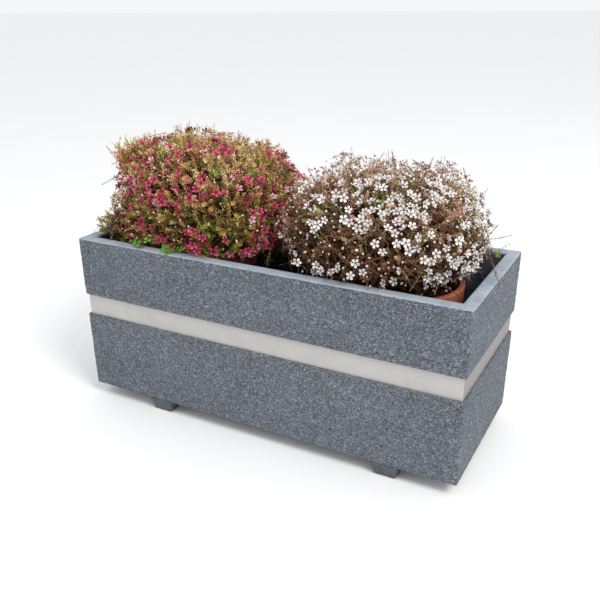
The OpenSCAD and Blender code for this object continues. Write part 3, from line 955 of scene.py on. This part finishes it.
def leaves_on(curves, per_sprig, rng, length, width, tone, first):
    """Small pointed leaves in a spiral along each curve, lighter towards its tip: points and tones."""
    count = len(curves)
    share = np.linspace(first, 1.0, per_sprig)[None] + rng.uniform(-0.015, 0.015, (count, per_sprig))
    base, along = at_share(curves, np.clip(share, 0, 1))
    helper = unit(np.cross(along, rng.normal(size=(count, 1, 3))))
    other = np.cross(along, helper)
    turn = np.arange(per_sprig)[None] * 2.4 + rng.uniform(0, 6.28, (count, 1))
    outward = helper * np.cos(turn)[..., None] + other * np.sin(turn)[..., None]
    reach = share[..., None]
    forward = unit(outward * (1.1 - 0.45 * reach) + along * (0.45 + 0.5 * (reach - first)))
    across = unit(np.cross(forward, along))
    above = np.cross(across, forward)
    size = length * rng.uniform(0.7, 1.15, (count, per_sprig, 1, 1)) * (1.05 - 0.35 * share[..., None, None])
    wide = width * rng.uniform(0.8, 1.15, (count, per_sprig, 1, 1))
    shape = LEAF[None, None]
    points = (base[:, :, None] + across[:, :, None] * shape[..., :1] * wide
              + forward[:, :, None] * shape[..., 1:2] * size + above[:, :, None] * shape[..., 2:] * wide)
    tones = tone[:, None] + 0.22 * (share - 0.7) + rng.normal(0, 0.10, (count, per_sprig))
    return points.reshape(-1, 4, 3), np.clip(tones, 0, 1).reshape(-1)


# Half the width of a petal or leaflet at each reach from the middle of a flower or leaf.
STAR_PETAL = [(0.10, 0.06), (0.34, 0.18), (0.60, 0.29), (0.80, 0.31), (0.94, 0.21), (1.00, 0.06)]
CLOVER_LEAFLET = [(0.08, 0.05), (0.35, 0.26), (0.65, 0.43), (0.90, 0.42), (1.00, 0.25), (0.93, 0.06)]


def rosette(petals, outline, cup):
    """Petals of unit length round +Z: outline gives the half width at each reach."""
    points, faces, along = [], [], []
    for p in range(petals):
        turn = 2 * math.pi * p / petals
        ahead = np.array([math.cos(turn), math.sin(turn), 0])
        aside = np.array([-math.sin(turn), math.cos(turn), 0])
        start = len(points)
        for reach, half in outline:
            for share in (-1, 0, 1):
                lift = cup * reach**2 + 0.06 * abs(share) + 0.03 * math.sin(3 * reach)
                points.append(ahead * reach + aside * share * half + np.array([0, 0, lift]))
                along.append(reach)
        for k in range(len(outline) - 1):
            for s in range(2):
                a = start + k * 3 + s
                faces.append([a, a + 3, a + 4, a + 1])
    return points, faces, along


def flower_template():
    """A flower of unit radius that faces +Z: five petals, a domed heart and a ring of stamens."""
    points, quads, along = rosette(5, STAR_PETAL, 0.14)
    triangles = []
    ring, heart_r = 10, 0.17
    centre = len(points)
    points.append(np.array([0, 0, 0.10]))
    along.append(0.0)
    for i in range(ring):
        t = 2 * math.pi * i / ring
        points.append(np.array([heart_r * math.cos(t), heart_r * math.sin(t), 0.04]))
        along.append(0.1)
        triangles.append([centre, centre + 1 + i, centre + 1 + (i + 1) % ring])
    for i in range(ring):
        t = 2 * math.pi * (i + 0.5) / ring
        spoke = np.array([math.cos(t), math.sin(t), 0])
        start = len(points)
        points += [spoke * 0.15 + [0.015, 0, 0.04], spoke * 0.15 + [-0.015, 0, 0.04]]
        points.append(spoke * 0.27 + [0, 0, 0.17])
        along += [0.15, 0.15, 0.24]
        triangles.append([start, start + 1, start + 2])
    return np.array(points), np.array(quads), np.array(triangles), np.array(along)


def flower_copies(spots, outward, sizes, rng):
    """A flower for each spot, which faces outwards and a little up, some of them half closed."""
    shape, quads, triangles, along = flower_template()
    facing = unit(outward + rng.normal(0, 0.48, outward.shape) + [0, 0, 0.18])
    axes = axes_facing(facing, rng)
    closing = rng.uniform(-0.10, 0.45, (len(spots), 1, 1)) * (shape[:, :2] ** 2).sum(1)[None, :, None]
    folding = rng.normal(0, 0.12, (len(spots), 1, 1)) * shape[None, :, :1]
    points = placed(shape + np.array([0, 0, 1]) * (closing + folding), axes, spots, sizes)
    return points, [quads, triangles], along


def bud_copies(spots, outward, sizes, rng):
    """A small oval bud for each spot."""
    ball, faces = ball_template(1)
    shape = ball * [0.5, 0.5, 0.75] + [0, 0, 0.4]
    axes = axes_facing(outward + rng.normal(0, 0.5, outward.shape), rng)
    return placed(shape, axes, spots, sizes), [faces], np.clip(0.2 + 0.7 * shape[:, 2], 0, 1)


def anywhere(centres):
    """The same chance everywhere on a crown."""
    return np.ones(len(centres))


def low_and_wide(centres):
    """Flowers are thicker on the flanks than on the very top, and sparse under the skirt."""
    height = centres[:, 2] - RIM_Z
    return np.where(height < 0.004, 0.2, np.where(height > 0.215, 0.55, 1.0))


def build_branches(side, crown, rng):
    """Stems from the compost that fork twice, up to tips just inside the crown."""
    stems_low, stems_high = corners(side + "_stems")
    centre = (stems_low + stems_high)[:2] / 2
    tips, outward = crown.sample(STEMS * FORKS * FORK_TWIGS, anywhere)
    tips = tips - outward * BRANCH_DEPTH
    tips = tips[tips[:, 2] > RIM_Z + 0.02]
    angle = np.arctan2(tips[:, 1] - centre[1], tips[:, 0] - centre[0])
    sector = ((angle + math.pi) / (2 * math.pi) * STEMS).astype(int) % STEMS
    curves, radii = [], []
    rings = 7
    share = np.linspace(0, 1, rings)[:, None]

    def limb(start, end, bow, thick, thin):
        middle = (start + end) / 2 + bow
        curve = (1 - share) ** 2 * start + 2 * share * (1 - share) * middle + share**2 * end
        curves.append(curve)
        radii.append(thick + (thin - thick) * share[:, 0])

    for s in range(STEMS):
        mine = tips[sector == s]
        if not len(mine):
            continue
        turn = (s + 0.5) / STEMS * 2 * math.pi - math.pi
        base = np.array([*centre, stems_low[2] - 0.012])
        base += 0.028 * np.array([math.cos(turn), math.sin(turn), 0])
        hub = between(np.array([*centre, RIM_Z + 0.02]), mine.mean(0), 0.45)
        limb(base, hub, np.array([0, 0, 0.02]), STEM_R, STEM_R * 0.75)
        order = np.argsort(mine[:, 2] + 0.5 * mine[:, 0])
        for group in np.array_split(order, FORKS):
            if not len(group):
                continue
            fork = between(hub, mine[group].mean(0), 0.5) + rng.normal(0, 0.008, 3)
            limb(hub, fork, rng.normal(0, 0.01, 3), STEM_R * 0.7, STEM_R * 0.45)
            for tip in mine[group]:
                limb(fork, tip, rng.normal(0, 0.012, 3) - [0, 0, 0.01], STEM_R * 0.42, 0.0009)
    curves, radii = np.array(curves), np.array(radii)
    points, quads, fans = tubes(curves, radii, 6)
    tone = np.repeat(rng.uniform(0, 0.6, len(curves)), points.shape[1])
    made = mesh_of(side + "_branches", points, [quads, fans], BARK, values={"tone": tone})
    return belongs(made, side + "_plant", "stem_bark", side + "_stems")


def build_sprigs(side, crown, rng, look, layers):
    """All twigs and leaves of one shrub, layer by layer from the outside in."""
    body, node = side + "_plant", side + "_foliage"
    twig_curves, twig_radii, twig_tones = [], [], []
    for layer, spec in enumerate(layers):
        tips, outward = crown.sample(spec["sprigs"], anywhere)
        tips = tips + outward * (rng.uniform(*spec["reach"], len(tips)))[:, None]
        heading = unit(outward + rng.normal(0, spec["spread"], outward.shape) + [0, 0, spec["up"]])
        lengths = rng.uniform(*spec["length"], len(tips))
        curves = sprig_curves(tips, heading, lengths, rng.uniform(-0.1, 0.2, len(tips)), TWIG_RINGS)
        good = clear_of_box(curves).all(1) & clear_of_pot(curves, side).all(1) & within_reach(curves, 0.004)
        curves = curves[good]
        mood = smooth_noise(curves[:, -1], 0.07, crown.seed + 5) * 0.16
        height = (curves[:, -1, 2] - RIM_Z) / (crown.high[2] - RIM_Z)
        # Painted light from above: leaves are lighter towards the top of the crown.
        tone = spec["tone"] + spec["painted_top_light"] * (height - 0.5) + mood + rng.normal(0, 0.15, len(curves))
        hue = 0.48 + 0.55 * smooth_noise(curves[:, -1], 0.035, crown.seed + 8)
        hue = np.clip(hue + rng.normal(0, 0.26, len(curves)) - 0.20 * (height - 0.45), 0, 1)
        points, tones = leaves_on(
            curves, spec["leaves"], rng, spec["leaf"], spec["width"], tone, spec["first"])
        middles = points.mean(1)
        good = clear_of_box(middles) & clear_of_pot(middles, side) & within_reach(points)
        points, tones, hues = points[good], tones[good], np.repeat(hue, spec["leaves"])[good]
        count, corner_count = points.shape[:2]
        values = {"tone": np.repeat(tones, corner_count), "hue": np.repeat(hues, corner_count),
                  "along": np.tile(LEAF_ALONG, count)}
        made = mesh_of(f"{side}_{spec['name']}", points, [repeated(LEAF_FACES, count, corner_count)], look,
                       smooth=False, values=values)
        belongs(made, body, node)
        if layer == 0:
            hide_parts(node)
        twig_curves.append(curves)
        radii = np.linspace(spec["twig"], spec["twig"] * 0.4, TWIG_RINGS)
        twig_radii.append(np.tile(radii, (len(curves), 1)))
        twig_tones.append(rng.uniform(0.35, 1.0, len(curves)))
    points, quads, fans = tubes(np.concatenate(twig_curves), np.concatenate(twig_radii), 3)
    tone = np.repeat(np.concatenate(twig_tones), points.shape[1])
    made = mesh_of(side + "_twigs", points, [quads, fans], BARK, values={"tone": tone})
    return belongs(made, body, "stem_bark")


SPOTS_TRIED = 20       # for each flower that is wanted
FLOWER_GAP = 0.0115    # least distance between two flowers or buds


def clustered(crown, clusters, each, spread, rng, weight, lift):
    """Spots in bunches on the crown, and a few between them, with their outward directions."""
    centres = crown.sample(clusters, weight)[0]
    spots, outward = crown.sample(clusters * each * SPOTS_TRIED, weight)
    away = np.linalg.norm(spots[:, None] - centres[None], axis=-1).min(1)
    chance = np.exp(-((away / spread) ** 2)) * 0.9 + 0.025
    keep = rng.uniform(0, 1, len(spots)) < chance
    spots, outward = spots[keep], outward[keep]
    chosen, directions = [], []
    for spot, direction in zip(spots, outward):
        if len(chosen) >= clusters * each:
            break
        if not chosen or np.linalg.norm(np.array(chosen) - spot, axis=1).min() > FLOWER_GAP:
            chosen.append(spot)
            directions.append(direction)
    spots, outward = np.array(chosen), np.array(directions)
    return spots + outward * rng.uniform(*lift, len(spots))[:, None], outward


def build_blooms(kind, side, crown, bunches, each, spread, weight, lift, sizes, look, rng):
    """Flowers or buds in bunches all over one crown, joined into one piece."""
    spots, outward = clustered(crown, bunches, each, spread, rng, weight, lift)
    sizes = rng.uniform(*sizes, len(spots))
    copies = flower_copies if kind == "flowers" else bud_copies
    points, faces, along = copies(spots, outward, sizes, rng)
    points = points[within_reach(points) & clear_of_box(points).all(1)]
    count, stride = points.shape[:2]
    tone = np.repeat(rng.uniform(0, 1, count), stride)
    made = mesh_of(f"{side}_{kind}", points, [repeated(part, count, stride) for part in faces],
                   look, values={"tone": tone, "along": np.tile(along, count)})
    return belongs(made, side + "_plant", {"left": "pink_petals", "right": "white_petals"}[side])


# A layer's reach is how far its tips are from the crown's surface, its spread is how much they vary
# in direction, its up turns them to the sky, and the number after its tone is painted light from above:
# how much lighter its leaves are at the top of the crown than at the rim. The twigs have no leaves before the
# share called first.
# Each layer's tone is darker the deeper the layer lies: painted shade inside the crown.
LEFT_LAYERS = [
    dict(name="outer_leaves", sprigs=1150, reach=(-0.008, 0.014), spread=0.60, up=0.25, length=(0.05, 0.09),
         tone=0.66, painted_top_light=0.42, leaves=32, leaf=0.0125, width=0.0032, first=0.34, twig=0.0009),
    dict(name="stray_leaves", sprigs=240, reach=(0.012, 0.032), spread=0.45, up=0.50, length=(0.06, 0.10),
         tone=0.65, painted_top_light=0.32, leaves=20, leaf=0.0090, width=0.0026, first=0.40, twig=0.0007),
    dict(name="middle_leaves", sprigs=950, reach=(-0.034, -0.014), spread=0.6, up=0.2, length=(0.05, 0.08),
         tone=0.37, painted_top_light=0.40, leaves=32, leaf=0.0120, width=0.0033, first=0.25, twig=0.0010),
    dict(name="inner_leaves", sprigs=800, reach=(-0.075, -0.036), spread=0.7, up=0.2, length=(0.05, 0.08),
         tone=0.10, painted_top_light=0.15, leaves=26, leaf=0.014, width=0.0042, first=0.15, twig=0.0012),
]
# The same painted shade: the deeper layers take darker tones.
RIGHT_LAYERS = [
    dict(name="outer_leaves", sprigs=1000, reach=(-0.010, 0.012), spread=0.60, up=0.25, length=(0.05, 0.10),
         tone=0.62, painted_top_light=0.74, leaves=32, leaf=0.0085, width=0.0024, first=0.28, twig=0.0011),
    dict(name="stray_leaves", sprigs=240, reach=(0.010, 0.032), spread=0.45, up=0.45, length=(0.06, 0.11),
         tone=0.54, painted_top_light=0.50, leaves=16, leaf=0.0070, width=0.0021, first=0.40, twig=0.0007),
    dict(name="middle_leaves", sprigs=1000, reach=(-0.034, -0.014), spread=0.6, up=0.2, length=(0.05, 0.08),
         tone=0.41, painted_top_light=0.66, leaves=32, leaf=0.0100, width=0.0028, first=0.22, twig=0.0012),
    dict(name="inner_leaves", sprigs=800, reach=(-0.075, -0.036), spread=0.7, up=0.2, length=(0.05, 0.08),
         tone=0.12, painted_top_light=0.15, leaves=26, leaf=0.014, width=0.0042, first=0.15, twig=0.0012),
]
INNER_RIM = inner_half(RIM_Z)
# Each clump of a crown: its middle, its radii and its share of the twigs.
LEFT_CLUMPS = [
    ((-INNER_RIM[0] + 0.042, -INNER_RIM[1] + 0.045, RIM_Z + 0.012), (0.046, 0.048, 0.046), 0.06),
    ((-INNER_RIM[0] + 0.082, -0.090, RIM_Z + 0.196), (0.046, 0.060, 0.044), 0.06),
]
RIGHT_CLUMPS = [((INNER_RIM[0] - 0.022, -0.02, RIM_Z + 0.070), (0.042, 0.060, 0.022), 0.02)]


# Place along the box from the pot's middle, height over the rim and number of leaves.
CLOVER_PATCHES = [(-0.084, 0.007, 9), (-0.046, 0.022, 6), (0.004, 0.006, 8), (0.030, 0.004, 4)]


def build_clover(rng):
    """Clover that has seeded itself in the left pot and hangs over the front rim."""
    pot_low, pot_high = corners("left_pot")
    pot_x = (pot_low + pot_high)[0] / 2
    shape, faces, along = (np.array(part) for part in rosette(3, CLOVER_LEAFLET, 0.10))
    vary = [0.011, 0.007, 0.003]
    tips = np.concatenate([
        np.array([pot_x + dx, -INNER_RIM[1] - 0.010, RIM_Z + dz]) + rng.normal(0, 1, (count, 3)) * vary
        for dx, dz, count in CLOVER_PATCHES
    ])
    tips[:, 2] = np.maximum(tips[:, 2], RIM_Z + 0.004)
    facing = unit(rng.normal(0, 0.35, tips.shape) + [0.1, -0.55, 0.8])
    points = placed(shape, axes_facing(facing, rng), tips, rng.uniform(0.0065, 0.0095, len(tips)))
    leaf_values = {"tone": np.repeat(rng.uniform(0, 1, len(tips)), len(shape)),
                   "hue": np.full(len(tips) * len(shape), 0.7), "along": np.tile(along, len(tips))}
    copies = repeated(faces, len(tips), len(shape))
    made = mesh_of("left_clover", points, [copies], CLOVER_LEAVES, values=leaf_values)
    belongs(made, "left_plant", "left_foliage")
    share = np.linspace(0, 1, 6)[None, :, None]
    root = tips * [1, 0, 0] + [0, -INNER_RIM[1] + 0.022, RIM_Z - 0.028]
    curves = root[:, None] + (tips - root)[:, None] * share + [0, 0, 0.028] * np.sin(math.pi * share)
    tubed, quads, fans = tubes(curves, np.full(6, 0.0005), 3)
    stalk_values = {key: np.full(tubed.shape[0] * tubed.shape[1], value)
                    for key, value in (("tone", 0.2), ("hue", 0.7), ("along", 0.2))}
    made = mesh_of("left_clover_stalks", tubed, [quads, fans], CLOVER_LEAVES, values=stalk_values)
    belongs(made, "left_plant", "left_foliage")


left_crown = Crown("left_foliage", 101, LEFT_CLUMPS, (0.8, -0.1, 0.7), 0.020)
right_crown = Crown("right_foliage", 202, RIGHT_CLUMPS, (0.85, 0.2, 0.5), 0.016)
build_branches("left", left_crown, np.random.default_rng(61))
build_branches("right", right_crown, np.random.default_rng(62))
build_sprigs("left", left_crown, np.random.default_rng(71), LEFT_LEAVES, LEFT_LAYERS)
build_sprigs("right", right_crown, np.random.default_rng(72), RIGHT_LEAVES, RIGHT_LAYERS)
build_clover(np.random.default_rng(73))

bloom_rng = np.random.default_rng(81)
build_blooms("flowers", "left", left_crown, 92, 6, 0.026, low_and_wide, (-0.002, 0.014), (0.0085, 0.0110),
             PINK, bloom_rng)
build_blooms("buds", "left", left_crown, 60, 4, 0.05, anywhere, (0.002, 0.014), (0.0035, 0.0055),
             BUDS, bloom_rng)
build_blooms("flowers", "right", right_crown, 52, 8, 0.021, low_and_wide, (0.004, 0.018), (0.0080, 0.0102),
             WHITE, bloom_rng)
build_blooms("buds", "right", right_crown, 150, 5, 0.040, anywhere, (0.002, 0.020), (0.0036, 0.0058),
             BUDS, bloom_rng)

# ---------------------------------------------------------------- stage, light and camera

FLOOR_HALF = 60.0
SENSOR, FOCAL = 36, 44.36                                          # millimetres
CAMERA_AT = Vector((0.8205, -1.4886, 0.9920))
CAMERA_AZIMUTH, CAMERA_DROP, CAMERA_ROLL = 28.322, 22.350, -0.347  # degrees


def build_camera():
    """Camera at the photographed angle: it looks back along its azimuth, and down."""
    a, e = math.radians(CAMERA_AZIMUTH), math.radians(CAMERA_DROP)
    back = Vector((math.sin(a) * math.cos(e), -math.cos(a) * math.cos(e), math.sin(e)))
    lens = bpy.data.cameras.new("camera")
    lens.lens, lens.sensor_width = FOCAL, SENSOR
    lens.clip_start, lens.clip_end = 0.05, 50
    made = bpy.data.objects.new("camera", lens)
    aim = (-back).to_track_quat("-Z", "Y").to_matrix().to_4x4()
    roll = Matrix.Rotation(math.radians(CAMERA_ROLL), 4, "Z")
    made.matrix_world = Matrix.Translation(CAMERA_AT) @ aim @ roll
    bpy.context.scene.collection.objects.link(made)
    bpy.context.scene.camera = made


def area_light(name, place, aim, size, power, colour):
    """A round soft light."""
    lamp = bpy.data.lights.new(name, "AREA")
    lamp.shape, lamp.size, lamp.energy, lamp.color = "DISK", size, power, colour
    made = bpy.data.objects.new(name, lamp)
    made.location = place
    made.rotation_euler = (Vector(aim) - Vector(place)).to_track_quat("-Z", "Y").to_euler()
    bpy.context.scene.collection.objects.link(made)


def build_stage():
    """A plain pale floor under a bright, even sky."""
    look = Look("floor", 0.1)
    look.shader.inputs["Roughness"].default_value = 0.9
    look.link("Base Color", look.fade(look.noise(2.0), 0.3, 0.7, 0.925, 0.935))
    floor_corners = [(sx * FLOOR_HALF, sy * FLOOR_HALF, 0) for sx, sy in ((-1, -1), (1, -1), (1, 1), (-1, 1))]
    floor = mesh_of("floor", floor_corners, [np.array([[0, 1, 2, 3]])], look.made)
    floor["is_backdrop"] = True
    world = bpy.data.worlds.new("studio")
    bpy.context.scene.world = world
    world.use_nodes = True
    sky = world.node_tree.nodes["Background"]
    sky.inputs["Color"].default_value = (0.96, 0.98, 1.0, 1)
    sky.inputs["Strength"].default_value = 0.95


build_stage()
area_light("key", (3.52, -1.76, 4.32), (0, 0, 0.3), 2.1, 166, (1.0, 0.975, 0.94))
area_light("fill", (-2.6, -1.8, 1.6), (0, 0, 0.3), 2.2, 6, (0.95, 0.98, 1.0))
build_camera()
bpy.context.scene.view_settings.view_transform = "Standard"
